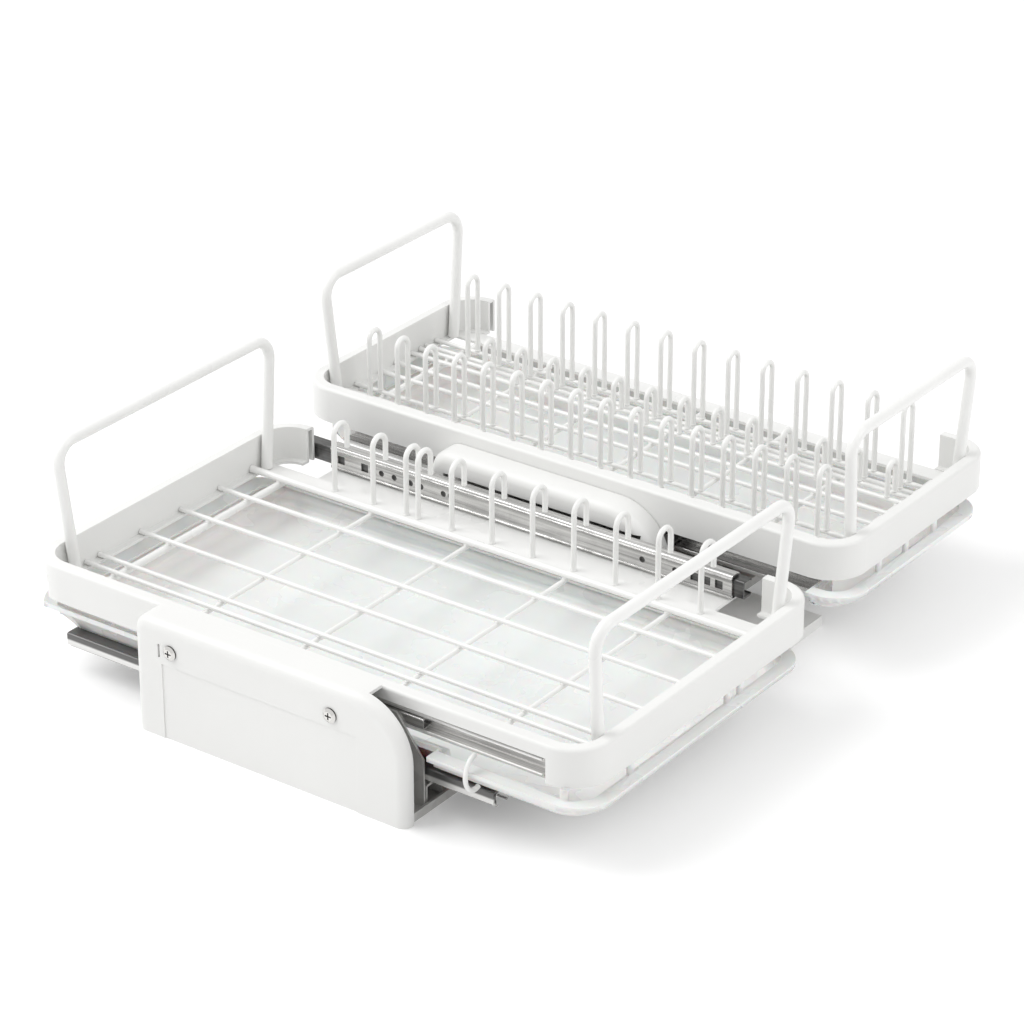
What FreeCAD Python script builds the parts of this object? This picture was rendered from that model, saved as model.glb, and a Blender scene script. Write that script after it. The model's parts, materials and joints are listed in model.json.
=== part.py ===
import FreeCAD, Part
import math
import os

from FreeCAD import Vector

# Pull-out dish rack for a base cabinet: two open trays, side by side, that draw out along +X.
# Millimetres. X = Y = 0 is the middle of the base, Z = 0 is the cabinet floor.

os.makedirs("parts", exist_ok=True)

# Base channel and centre plate
base_len = 214.0            # along X, also the length of the front bracket
base_sheet = 2.0
base_lip = 6.0              # upturned edge of the base channel
plate_len = 352.0           # the longer centre plate
plate_depth = 44.0
plate_x = -3.0
plate_y = 58.0
floor_hole_r = 2.6
floor_hole_xs = (-40.0, 40.0)
floor_hole_ys = (-130.0, 140.0)
dimple_r = 7.0
dimple_from_end = 24.0

# Brackets: a folded steel core under a moulded cover
core_sheet = 1.5
core_bend = 1.5
cover_wall = 2.2
cover_depth = 21.3
cover_top = 82.0
cover_round = 40.0          # large end corner of a cover, seen from the front
front_small_round = 10.0    # the other end
mid_small_round = 15.0
cover_edge = 7.0            # rounding between face and top
rear_cover_top = 54.0
rear_cover_depth = 19.3
mid_len = 186.0
mid_shift = -7.0            # the middle and rear brackets sit a little to the left
cover_play = 0.3            # a cover slips over steel with this much room
latch_x = -85.8
latch_z = 62.2
latch_w = 1.6
latch_h = 9.5
screw_head_r = 5.0
screw_r = 2.0
screw_len = 6.0
front_screws = ((-76.5, 63.5), (50.4, 62.0))
rear_screws = ((mid_shift - mid_len / 2 + 33.0, 36.0), (mid_shift + mid_len / 2 - 33.0, 36.0))
panel_x = (-84.0, 70.0)     # shallow recess in the front cover's face
panel_top = 53.5
panel_depth = 0.7
side_return = 8.5           # depth of the front cover's right side

# Telescopic slides. Each member is a folded C that runs inside the lips of the next.
slide_h = 18.0
slide_w = 12.7
slide_sheet = 1.2
slide_fit = 0.35            # running gap between nested members
slide_bend = 0.9
lip_h = 1.0
latch_hole = 6.0
rivet_r = 2.2
tray_flange = 9.0           # how far the tray member's flanges reach
bracket_room = 1.4          # between the middle member's lips and the bracket
tray_half = slide_h / 2
middle_half = tray_half - slide_sheet - lip_h - slide_fit
fixed_half = middle_half - slide_sheet - lip_h - slide_fit

# Trays
skin = 2.0                  # wall of the moulded band
run_gap = 0.5               # between what slides past what
rim_w = 8.0
corner_r = 27.0
band_h = 25.8
rim_edge = 2.4              # rounding of the rim
ledge_w = 5.0
ledge_t = 2.0
ledge_in = rim_w + ledge_w  # from the outside of a band to the inner edge of its ledge
flange_left = 1.5           # returned ends of the band at the open rear side
flange_right = 12.0
front_len = 440.0
front_depth = 260.0
front_x0 = -217.0
front_rim = 80.0
rear_len = 450.0
rear_depth = 196.0
rear_x0 = -231.0
rear_rim = 91.4
rear_overhang = 8.0         # the rear tray's front edge stands over the middle bracket
rear_back_room = 15.0       # the rear slide sits this far in from the rear edge
window_x0 = -112.0          # window in the front tray's front wall, shows the slide
window_x1 = 194.5
window_lip = 9.0
slide_above_edge = 5.8      # centre of the front tray's slides above the band's lower edge
hanger_t = 1.1

# Wire
wire_r = 1.7
wire_play = 0.5             # between the ends of the mat's wires and the band
prong_r = 1.9
edge_wire_r = 2.5           # the front tray's last long wire and each mat's first cross bar
edge_wire_y = -29.0
handle_r = 4.0
handle_bend = 14.0
handle_rise = 75.0          # top of a handle above the rim
handle_lean_x = 2.5          # the bar stands this much outside the feet
handle_lean_y = 10.0
front_leg_in = 33.0         # handle legs, from the front and rear edge of the tray
rear_leg_in = 30.0
front_bars = [-184.0 + 80.0 * k for k in range(5)]
front_wires = (-198.0, -185.0, -144.0, -103.5, -63.5)
rear_bars = (-197.0, -131.0, -65.0, 1.0, 67.0, 133.0, 187.0)
low_y = 92.6                # front legs of the three prong rows
short_y = 170.0
tall_y = 187.0
low_span = 12.0
short_span = 10.0
tall_span = 12.0
rear_wires = (86.0, low_y, low_y + low_span, 132.0, 151.0, short_y, short_y + short_span, tall_y, tall_y + tall_span)
strip_y = -24.5             # front edge of the front tray's flat rear strip
strip_depth = 14.5
strip_drop = 5.2            # step down to the flange under the slide
rear_strip_y = 217.0

# Hooks at the front tray's open rear side
hook_pitch = 33.1
hook_count = 10
hook_x0 = -144.0
hook_y = -18.0
hook_span = 14.0
hook_top = 106.0
hook_end = 84.0
pair_place = 2              # this place carries two hooks
pair_shift = 5.0

# Plate prongs of the rear tray
plate_pitch = 27.94
plate_count = 14
plate_x0 = -184.0
tall_top = 133.0
short_top = 96.5
low_pitch = 24.8
low_count = 16
low_x0 = -200.0
low_top = 121.0

# Drip trays
drip_gap = 7.0              # between band and drip tray rim
drip_wall = 1.8
drip_over = 7.3             # the drip trays' rims reach this far beyond the band
drip_rear_in = 22.5         # but stop short of the rear edge
drip_h = 18.0
drip_edge = 9.0
drip_corner = 24.0
tab_w = 5.0
corner_in = 18.0            # the tab at the front right corner, from the right side
front_tab_ys = (-196.7, -91.0, -76.5)
rear_tab_ys = (95.2, 129.7, 166.2)

# Lower, flat slides under the drip trays
low_slide_half = base_len / 2 - 6.0         # half length of the fixed member and its riser
riser_half = 8.0
riser_foot = 9.0
rear_low_y = 128.0

# Ends of the slides
low_rail = (front_x0 + 27.0, front_x0 + front_len - 71.0)
front_rail = (front_x0 + 19.0, front_x0 + front_len - 35.0)
front_rear_rail = (front_x0 + 43.0, front_x0 + front_len - 67.0)
front_rear_middle = (front_x0 + 16.0, front_x0 + front_len - 59.0)
rear_rail = (rear_x0 + 33.0, rear_x0 + rear_len - 29.0)
latch_places = (9.0, 29.5, -29.0, -19.5, -10.0)    # along the front tray's rear slide, from its ends
rivet_places = (44.0, 55.0, 69.0, 78.0, 97.0, 103.0, -44.0, -70.0)

# Planes, from the middle bracket outwards
mid_front = 27.9            # face that carries the front tray's rear slide
mid_rear = 57.0             # face that carries the rear tray's front slide
front_rear_web = mid_front - slide_w
front_x1 = front_x0 + front_len
front_y1 = front_rear_web - 0.2
front_y0 = front_y1 - front_depth
riser_y = front_y0 + skin + run_gap         # outer face of the plate behind the front wall
front_slide_back = riser_y + core_sheet
front_web = front_slide_back + slide_w
rear_x1 = rear_x0 + rear_len
rear_y0 = mid_rear - rear_overhang
rear_y1 = rear_y0 + rear_depth
rear_slide_back = rear_y1 - rear_back_room
front_band_z = front_rim - band_h
rear_band_z = rear_rim - band_h
front_slide_z = front_band_z + slide_above_edge
rear_slide_z = rear_band_z - hanger_t - tray_half
front_cover_y1 = front_y0 - 0.7
front_cover_y0 = front_cover_y1 - cover_depth
rear_cover_y0 = rear_slide_back + core_sheet + cover_play
rear_cover_y1 = rear_cover_y0 + rear_cover_depth
front_drip_z = front_band_z - drip_gap      # top of the drip tray rims
rear_drip_z = rear_band_z - drip_gap
front_low_z = front_drip_z - drip_h
rear_low_z = rear_drip_z - drip_h
front_low_y = front_slide_back + 2.0 + tray_half
base_half = base_len / 2 - cover_wall - cover_play
mid_x0 = mid_shift - mid_len / 2
mid_x1 = mid_shift + mid_len / 2
pocket_top = front_slide_z + tray_half + 0.6


def save(name, shape):
    shape.exportStep("parts/" + name + ".step")


def box(x0, x1, y0, y1, z0, z1):
    return Part.makeBox(x1 - x0, y1 - y0, z1 - z0, Vector(x0, y0, z0))


def rod(a, b, r):
    a, b = Vector(*a), Vector(*b)
    return Part.makeCylinder(r, (b - a).Length, a, b - a)


def fuse(shapes):
    out = shapes[0].multiFuse(shapes[1:]) if len(shapes) > 1 else shapes[0]
    return out.removeSplitter()


def cut_all(solid, tools):
    return solid.cut(Part.makeCompound(tools))


def moved(solid, x):
    copy = solid.copy()
    copy.translate(Vector(x, 0, 0))
    return copy


def rounded_prism(x0, x1, y0, y1, r, z0, z1):
    """Upright prism with a rounded rectangular outline."""
    s = r * (1 - math.sqrt(0.5))
    edges = [
        Part.LineSegment(Vector(x0 + r, y0, z0), Vector(x1 - r, y0, z0)),
        Part.Arc(Vector(x1 - r, y0, z0), Vector(x1 - s, y0 + s, z0), Vector(x1, y0 + r, z0)),
        Part.LineSegment(Vector(x1, y0 + r, z0), Vector(x1, y1 - r, z0)),
        Part.Arc(Vector(x1, y1 - r, z0), Vector(x1 - s, y1 - s, z0), Vector(x1 - r, y1, z0)),
        Part.LineSegment(Vector(x1 - r, y1, z0), Vector(x0 + r, y1, z0)),
        Part.Arc(Vector(x0 + r, y1, z0), Vector(x0 + s, y1 - s, z0), Vector(x0, y1 - r, z0)),
        Part.LineSegment(Vector(x0, y1 - r, z0), Vector(x0, y0 + r, z0)),
        Part.Arc(Vector(x0, y0 + r, z0), Vector(x0 + s, y0 + s, z0), Vector(x0 + r, y0, z0)),
    ]
    wire = Part.Wire([e.toShape() for e in edges])
    return Part.Face(wire).extrude(Vector(0, 0, z1 - z0))


def bent_path(points, radius):
    """Straight runs joined by tangent arcs, as a folded sheet has."""
    pts = [Vector(*p) for p in points]
    edges = []
    last = pts[0]
    for i in range(1, len(pts) - 1):
        u = (pts[i - 1] - pts[i]).normalize()
        v = (pts[i + 1] - pts[i]).normalize()
        half = u.getAngle(v) / 2
        cut = radius / math.tan(half)
        a, b = pts[i] + u * cut, pts[i] + v * cut
        centre = pts[i] + (u + v).normalize() * (radius / math.sin(half))
        mid = centre + (pts[i] - centre).normalize() * radius
        edges.append(Part.LineSegment(last, a).toShape())
        edges.append(Part.Arc(a, mid, b).toShape())
        last = b
    edges.append(Part.LineSegment(last, pts[-1]).toShape())
    return Part.Wire(edges)


def bent_wire(points, radius, r):
    """Round wire: cylinders along the straight runs, pieces of a ring round the bends."""
    pts = [Vector(*p) for p in points]
    pieces = []
    last = pts[0]
    for i in range(1, len(pts) - 1):
        u = (pts[i] - pts[i - 1]).normalize()
        v = (pts[i + 1] - pts[i]).normalize()
        turn = u.getAngle(v)
        cut = radius * math.tan(turn / 2)
        a = pts[i] - u * cut
        centre = pts[i] + (v - u).normalize() * (radius / math.cos(turn / 2))
        if (a - last).Length > 1e-6:
            pieces.append(Part.makeCylinder(r, (a - last).Length, last, u))
        disc = Part.Face(Part.Wire(Part.makeCircle(r, a, u)))
        pieces.append(disc.revolve(centre, u.cross(v), math.degrees(turn)))
        last = pts[i] + v * cut
    pieces.append(rod(last, pts[-1], r))
    return fuse(pieces)


def shortened(a, b, cut):
    """The point a moved towards b by the given length."""
    d = Vector(b[0] - a[0], b[1] - a[1], 0).normalize() * cut
    return (a[0] + d.x, a[1] + d.y)


def folded_sheet(points, radius, thickness, x0, x1):
    """Folded sheet: a centreline of Y, Z points, thickened and drawn along X."""
    # the thickening adds half a thickness at both free edges, so the centreline stops short of them
    t = thickness / 2
    points = [shortened(points[0], points[1], t)] + points[1:-1] + [shortened(points[-1], points[-2], t)]
    flat = [(y, z, 0) for y, z in points]
    outline = bent_path(flat, radius).makeOffset2D(t, 2, False, False)
    solid = Part.Face(outline).extrude(Vector(0, 0, x1 - x0))
    # the flat outline's u, v become Y, Z and its depth becomes X
    turn = FreeCAD.Matrix(0, 0, 1, x0, 1, 0, 0, 0, 0, 1, 0, 0, 0, 0, 0, 1)
    return solid.transformed(turn, True)


def c_section(web_u, open_u, half_v):
    """Centreline of a C with inturned lips; u runs from the web at web_u to the mouth at open_u."""
    t = slide_sheet / 2
    step = t if open_u > web_u else -t
    lip = half_v - slide_sheet - lip_h
    return [(open_u - step, lip), (open_u - step, half_v - t), (web_u + step, half_v - t),
            (web_u + step, -half_v + t), (open_u - step, -half_v + t), (open_u - step, -lip)]


def member(kind, ends, web, toward, z, flat=False):
    """One slide member, its outer web at the given plane; toward is the way the slide opens."""
    if kind == "tray":
        outline = c_section(0.0, tray_flange, tray_half)
    elif kind == "middle":
        outline = c_section(slide_sheet + slide_fit, slide_w - bracket_room, middle_half)
    else:
        outline = c_section(slide_w, 2 * slide_sheet + 3 * slide_fit, fixed_half)
    if flat:
        points = [(web + v, z - u) for u, v in outline]
    else:
        points = [(web + toward * u, z + v) for u, v in outline]
    return folded_sheet(points, slide_bend, slide_sheet, ends[0], ends[1])


def holes_along_y(places, y, r):
    """Cylinders through a thin wall at the plane y."""
    return [Part.makeCylinder(r, 6, Vector(x, y - 3, z), Vector(0, 1, 0)) for x, z in places]


def base_channel():
    # it ends where the covers' rounded corners begin
    y0, y1 = front_cover_y0 + cover_edge, rear_cover_y1 - cover_edge
    h = base_half
    floor = box(-h, h, y0, y1, 0, base_sheet)
    lips = [box(-h, base_sheet - h, y0, y1, 0, base_lip), box(h - base_sheet, h, y0, y1, 0, base_lip)]
    holes = []
    for x in floor_hole_xs:
        for y in floor_hole_ys:
            holes.append(Part.makeCylinder(floor_hole_r, 3 * base_sheet, Vector(x, y, -base_sheet)))
    return cut_all(fuse([floor] + lips), holes)


def centre_plate():
    """Long flat stiffener over the channel's lips, its turned-down ends on the cabinet floor."""
    y0, y1 = plate_y, plate_y + plate_depth
    x0, x1 = plate_x - plate_len / 2, plate_x + plate_len / 2
    top = base_lip + base_sheet
    plate = box(x0, x1, y0, y1, 0, top)
    under = box(x0 + base_sheet, x1 - base_sheet, y0 - 1, y1 + 1, -1, base_lip)
    dimples = [Part.makeCone(dimple_r - 2, dimple_r, base_sheet, Vector(x, (y0 + y1) / 2, top - 1))
               for x in (x0 + dimple_from_end, x1 - dimple_from_end)]
    return cut_all(plate, [under] + dimples)


def front_core():
    """Folded steel of the front bracket: outer flange, foot and the plate behind the tray's wall."""
    t = core_sheet / 2
    foot = base_sheet + t
    gap = cover_wall + cover_play
    room = cover_space(-base_len / 2, base_len / 2, front_cover_y0, front_cover_y1, 0, cover_top,
                       front_small_round, cover_round, -1, gap)
    outer = front_cover_y0 + cover_wall + cover_play + t
    points = [(outer, front_rim - 9), (outer, foot), (riser_y + t, foot), (riser_y + t, front_slide_z + 4)]
    h = base_half - base_sheet - cover_play
    solid = folded_sheet(points, core_bend, core_sheet, -h, h)
    beyond = box(-base_len, base_len, front_cover_y0, front_cover_y0 + 12, 0, 2 * cover_top).cut(room)
    return cut_all(solid, [beyond] + holes_along_y(front_screws, outer, screw_r + cover_play))


def middle_core():
    t = core_sheet / 2
    foot = base_sheet + t
    edge = cover_wall + cover_play
    points = [(mid_front + t, front_slide_z + 4), (mid_front + t, foot),
              (mid_rear - t, foot), (mid_rear - t, rear_slide_z + 4)]
    return folded_sheet(points, core_bend, core_sheet, mid_x0 + edge, mid_x1 - edge)


def rear_core():
    t = core_sheet / 2
    foot = base_sheet + t
    edge = cover_wall + cover_play
    back = rear_cover_y1 - edge - t
    points = [(rear_slide_back + t, rear_slide_z + 4), (rear_slide_back + t, foot),
              (back, foot), (back, rear_cover_top - 8)]
    solid = folded_sheet(points, core_bend, core_sheet, mid_x0 + edge, mid_x1 - edge)
    room = cover_space(mid_x0, mid_x1, rear_cover_y0, rear_cover_y1, 0, rear_cover_top,
                       mid_small_round, mid_small_round, 1, edge)
    beyond = box(-base_len, base_len, rear_cover_y1 - 12, rear_cover_y1, 0, 2 * cover_top).cut(room)
    return cut_all(solid, [beyond] + holes_along_y(rear_screws, back, screw_r + cover_play))


def cover_outline(x0, x1, z0, top, r_left, r_right):
    """A cover seen from the front: straight foot, two rounded upper corners."""
    k = 1 - math.sqrt(0.5)
    return Part.Wire([
        Part.LineSegment(Vector(x1, 0, z0), Vector(x1, 0, top - r_right)).toShape(),
        Part.Arc(Vector(x1, 0, top - r_right), Vector(x1 - r_right * k, 0, top - r_right * k),
                 Vector(x1 - r_right, 0, top)).toShape(),
        Part.LineSegment(Vector(x1 - r_right, 0, top), Vector(x0 + r_left, 0, top)).toShape(),
        Part.Arc(Vector(x0 + r_left, 0, top), Vector(x0 + r_left * k, 0, top - r_left * k),
                 Vector(x0, 0, top - r_left)).toShape(),
        Part.LineSegment(Vector(x0, 0, top - r_left), Vector(x0, 0, z0)).toShape(),
        Part.LineSegment(Vector(x0, 0, z0), Vector(x1, 0, z0)).toShape(),
    ])


def soften(solid, y, z, r):
    """Round the edges that lie in the plane y above the height z."""
    rim = [e for e in solid.Edges
           if abs(e.BoundBox.YMin - y) < 1e-4 and abs(e.BoundBox.YMax - y) < 1e-4 and e.BoundBox.ZMax > z + 0.1]
    return solid.makeFillet(r, rim)


def cover_space(x0, x1, y0, y1, z0, top, r_left, r_right, face, gap):
    """The room inside a cover's outline, the given gap in from its outside and open at its back.

    face is the side, -1 or +1 along Y, that looks outwards.
    """
    outline = cover_outline(x0 + gap, x1 - gap, z0, top - gap, r_left - gap, r_right - gap)
    depth = y1 - y0 - gap + (1 if gap else 0)
    solid = Part.Face(outline).extrude(Vector(0, depth, 0))
    solid.translate(Vector(0, y0 + gap if face < 0 else y1 - gap - depth, 0))
    return soften(solid, y0 + gap if face < 0 else y1 - gap, z0, cover_edge - gap)


def cover(x0, x1, y0, y1, z0, top, r_left, r_right, face):
    """Moulded bracket cover, open underneath and on the side away from its face."""
    outer = cover_space(x0, x1, y0, y1, z0, top, r_left, r_right, face, 0)
    inner = cover_space(x0, x1, y0, y1, z0 - 1, top, r_left, r_right, face, cover_wall)
    return outer.cut(inner)


def front_cover():
    h = base_len / 2
    y0, y1 = front_cover_y0, front_cover_y1
    solid = cover(-h, h, y0, y1, 0.0, cover_top, front_small_round, cover_round, -1)
    # the right end returns only a little; the slot beside the left screw takes a latch
    mouth = box(h - cover_round + 7, h + 1, y0 + side_return, y1 + 1, -1, cover_top + 1)
    panel = box(panel_x[0], panel_x[1], y0 - 1, y0 + panel_depth, -1, panel_top)
    latch = box(latch_x - latch_w / 2, latch_x + latch_w / 2, y0 - 1, y0 + cover_wall + 1,
                latch_z - latch_h / 2, latch_z + latch_h / 2)
    return cut_all(solid, [mouth, latch, panel] + holes_along_y(front_screws, y0 + 1, screw_r + cover_play))


def middle_cover():
    y0, y1 = mid_front + core_sheet + cover_play, rear_y0 - 0.5
    solid = cover(mid_x0, mid_x1, y0, y1, base_sheet, cover_top, mid_small_round, cover_round, -1)
    # the face is open where the slide is fixed, and clears the core's foot
    opening = box(mid_x0 + 12, mid_x1 - 12, y0 - 1, y0 + cover_wall + cover_edge, 0, front_slide_z + 7)
    foot = box(mid_x0 + cover_wall, mid_x1 - cover_wall, y0 - 1, y1 + 1, 0, base_sheet + core_sheet + cover_play)
    return cut_all(solid, [opening, foot])


def rear_cover():
    y0, y1 = rear_cover_y0, rear_cover_y1
    solid = cover(mid_x0, mid_x1, y0, y1, base_sheet, rear_cover_top, mid_small_round, mid_small_round, 1)
    return cut_all(solid, holes_along_y(rear_screws, y1 - 1, screw_r + cover_play))


def pan_screw(x, y, z, toward):
    """Pan-head screw with a cross recess, the underside of its head on the plane y."""
    d = Vector(0, toward, 0)
    head = Part.makeCylinder(screw_head_r, 1.0, Vector(x, y, z), d)
    dome = Part.makeCone(screw_head_r, screw_head_r * 0.6, 1.2, Vector(x, y + toward, z), d)
    shank = Part.makeCylinder(screw_r, screw_len, Vector(x, y, z), d * -1)
    y0, y1 = sorted((y + toward, y + 4 * toward))
    cross = [box(x - 2.4, x + 2.4, y0, y1, z - 0.5, z + 0.5), box(x - 0.5, x + 0.5, y0, y1, z - 2.4, z + 2.4)]
    return cut_all(fuse([head, dome, shank]), cross)


def band(x0, x1, y0, y1, rim):
    """Moulded rim of a tray: a channel open downwards, with an inner ledge and an open rear side."""
    z0 = rim - band_h
    w = rim_w - skin
    low = ledge_in
    outer = rounded_prism(x0, x1, y0, y1, corner_r, z0, rim)
    outer = outer.makeFillet(rim_edge, [e for e in outer.Edges if e.BoundBox.ZMin > rim - 1e-4])
    well = rounded_prism(x0 + rim_w, x1 - rim_w, y0 + rim_w, y1 - rim_w, corner_r - rim_w, z0 + ledge_t, rim + 1)
    mouth = rounded_prism(x0 + low, x1 - low, y0 + low, y1 - low, corner_r - low, z0 - 1, z0 + ledge_t + 1)
    groove = rounded_prism(x0 + skin, x1 - skin, y0 + skin, y1 - skin, corner_r - skin, z0 - 1, rim - skin)
    keep = rounded_prism(x0 + w, x1 - w, y0 + w, y1 - w, corner_r - w, z0 - 2, rim)
    open_side = box(x0 + corner_r + flange_left, x1 - corner_r - flange_right, y1 - low - 1, y1 + 1, z0 - 1, rim + 1)
    return cut_all(outer, [well, mouth, groove.cut(keep), open_side])


def front_band():
    """The front tray's band; its front wall has a pocket for the slide and a window that shows it."""
    ring = band(front_x0, front_x1, front_y0, front_y1, front_rim)
    x0, x1 = front_x0 + corner_r - 6, window_x1 + skin
    inside = front_web + skin
    pocket = box(front_x0 - 1, window_x1, front_y0 + skin, front_web, front_band_z - 1, pocket_top)
    roof = pocket_top + skin
    beam = box(x0, x1, front_y0 + skin, inside, pocket_top, roof)
    wall = box(x0, x1, front_web, inside, front_band_z, roof)
    end = box(window_x1, x1, front_y0 + skin / 2, inside, front_band_z, roof)
    window = box(window_x0, window_x1, front_y0 - 1, front_y0 + skin + 0.1, front_band_z - 1, front_rim - window_lip)
    return ring.cut(pocket).fuse(beam).fuse(wall).fuse(end).cut(window).removeSplitter()


def save_mat(tray, bars, wires, x_ends, y_ends, ledge_z):
    """Welded wire mat: long wires that rest on the ledges, cross bars welded on beneath them."""
    z = ledge_z + wire_r
    z_bar = z - 2 * wire_r
    long_wires = [rod((x_ends[0], y, z), (x_ends[1], y, z), wire_r) for y in wires]
    if tray == "front_tray":
        z_edge = ledge_z + edge_wire_r
        long_wires.append(rod((x_ends[0], edge_wire_y, z_edge), (x_ends[1], edge_wire_y, z_edge), edge_wire_r))
    z_first = ledge_z - edge_wire_r
    cross_bars = [rod((x, y_ends[0], z_bar), (x, y_ends[1], z_bar), wire_r) for x in bars[1:]]
    cross_bars.append(rod((bars[0], y_ends[0], z_first), (bars[0], y_ends[1], z_first), edge_wire_r))
    save(tray + "_long_wires", Part.makeCompound(long_wires))
    save(tray + "_cross_bars", Part.makeCompound(cross_bars))


def ledge_strip(x0, x1, y0, y1, outer, z):
    """Flat strip let into the inner outline of a band's ledge."""
    low = ledge_in
    inside = rounded_prism(outer[0] + low, outer[1] - low, outer[2] + low, outer[3] - low, corner_r - low, z, z + ledge_t)
    return box(x0, x1, y0, y1, z, z + ledge_t).common(inside)


def front_strip():
    """Flat rear edge of the front tray, folded down to the flange that carries the slide."""
    outer = (front_x0, front_x1, front_y0, front_y1)
    z = front_band_z
    y1 = strip_y + strip_depth
    x0, x1 = front_rear_rail[0] + 2, front_rear_rail[1] - 2
    low = z + ledge_t - strip_drop
    strip = ledge_strip(front_x0, front_x1, strip_y, y1, outer, z)
    fold = box(x0, x1, y1 - ledge_t, y1, low - ledge_t, z + ledge_t)
    flange = box(x0, x1, y1 - ledge_t, front_rear_web + tray_flange, low - ledge_t, low)
    return fuse([strip, fold, flange])


def rear_strip():
    outer = (rear_x0, rear_x1, rear_y0, rear_y1)
    return ledge_strip(rear_x0, rear_x1, rear_strip_y, rear_y1 - ledge_in - 1, outer, rear_band_z)


def prong(x, y, foot, top, span, end):
    """Bent wire prong in a plane across the tray: up at y, over, and down again at y + span."""
    z = top - prong_r
    return bent_wire([(x, y, foot), (x, y, z), (x, y + span, z), (x, y + span, end)], span / 2, prong_r)


def prong_row(first, pitch, count, y, foot, top, span, end):
    one = prong(first, y, foot, top, span, end)
    return [moved(one, pitch * k) for k in range(count)]


def front_hooks():
    """Hooks that keep bowls from sliding off the open rear side; one place carries a pair."""
    foot = front_band_z + ledge_t
    hooks = prong_row(hook_x0, hook_pitch, hook_count, hook_y, foot, hook_top, hook_span, hook_end)
    one = hooks[pair_place]
    hooks[pair_place] = moved(one, -pair_shift)
    hooks.append(moved(one, pair_shift))
    return Part.makeCompound(hooks)


def handle(x, lean, y_front, y_rear, foot, top):
    """Bent wire handle whose legs spread a little towards its bar."""
    z = top - handle_r
    points = [(x, y_front, foot), (x + lean, y_front - handle_lean_y, z),
              (x + lean, y_rear + handle_lean_y, z), (x, y_rear, foot)]
    loop = bent_wire(points, handle_bend, handle_r)
    # the feet are cut flat on the ledge
    return loop.cut(box(x - 20, x + 20, y_front - 20, y_rear + 20, foot - 10, foot + 0.6))


def hanger(ends, web, toward, edge, z_top):
    """Angle under the band that carries a slide's web."""
    t = hanger_t
    a, b = sorted((web, web + toward * t))
    c, d = sorted((web + toward * t, edge))
    leg = box(ends[0], ends[1], a, b, z_top - slide_h - t, z_top)
    shelf = box(ends[0], ends[1], c, d, z_top - t, z_top)
    return fuse([leg, shelf])


def dish(x0, x1, y0, y1, z_top, notches, tabs):
    """Shallow dish with a flat rim and a rounded lower edge; tabs hang it from the band.

    A notch is the end and the two sides of a cut, open to the left, that clears what slides past.
    """
    z0 = z_top - drip_h
    w = drip_wall
    rim = drip_over + skin
    outer = rounded_prism(x0, x1, y0, y1, drip_corner, z0, z_top)
    outer = outer.makeFillet(drip_edge, [e for e in outer.Edges if e.BoundBox.ZMax < z0 + 1e-4])
    well = rounded_prism(x0 + w, x1 - w, y0 + w, y1 - w, drip_corner - w, z0 + w, z_top - w)
    well = well.makeFillet(drip_edge - w, [e for e in well.Edges if e.BoundBox.ZMax < z0 + w + 1e-4])
    mouth = rounded_prism(x0 + rim, x1 - rim, y0 + rim, y1 - rim, drip_corner - rim, z_top - w - 1, z_top + 1)
    for end, a, b in notches:
        outer = outer.cut(box(x0 - 1, end, a, b, z0 - 1, z_top + 1))
        grown = box(x0 - 1, end + w, a - w, b + w, z0 - 1, z_top + 2)
        well = well.cut(grown)
        mouth = mouth.cut(grown)
    return fuse([cut_all(outer, [well, mouth])] + tabs)


def side_tabs(x, ys, z):
    """Tabs between a drip tray's rim and the band's right side."""
    return [box(x - skin, x, y - tab_w / 2, y + tab_w / 2, z - drip_wall, z + drip_gap) for y in ys]


def front_drip():
    z = front_drip_z
    tabs = side_tabs(front_x1, front_tab_ys, z)
    x = front_x1 - corner_in
    tabs.append(box(x, x + tab_w, front_y0, front_y0 + skin, z - drip_wall, z + drip_gap))
    notches = [(base_len / 2 + 5.0, front_y0 - 2 * drip_over, front_slide_back + run_gap)]
    return dish(front_x0 - drip_over, front_x1 + drip_over, front_y0 - drip_over, front_y1 - drip_rear_in, z,
                notches, tabs)


def rear_drip():
    z = rear_drip_z
    room = slide_w + hanger_t + 0.6
    end = rear_rail[1] + 5.0
    notches = [(end, rear_y0 - 2 * drip_over, mid_rear + room), (end, rear_slide_back - room, rear_y1)]
    return dish(rear_x0 - drip_over, rear_x1 + drip_over, rear_y0 - drip_over, rear_y1 - drip_rear_in, z,
                notches, side_tabs(rear_x1, rear_tab_ys, z))


def riser(y, z_top, x0, x1):
    """Folded steel between the base channel and a flat slide, one leg turned out as a foot."""
    t = core_sheet / 2
    foot = base_sheet + t
    a, b = y - riser_half, y + riser_half
    points = [(a, base_sheet), (a, z_top - t), (b, z_top - t), (b, foot), (b + riser_foot, foot)]
    return folded_sheet(points, core_bend, core_sheet, x0, x1)


def along(ends, places):
    """Places along a rail, measured from its left end, or from its right end where negative."""
    return [ends[0] + p if p > 0 else ends[1] + p for p in places]


def save_slide(name, ends, middle_ends, fixed_ends, web, toward, z, flat=False):
    """The middle and the fixed member of one slide."""
    save(name + "_mid_rail", member("middle", middle_ends, web, toward, z, flat))
    save(name + "_fixed_rail", member("fixed", fixed_ends, web, toward, z, flat))
    return member("tray", ends, web, toward, z, flat)


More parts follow.
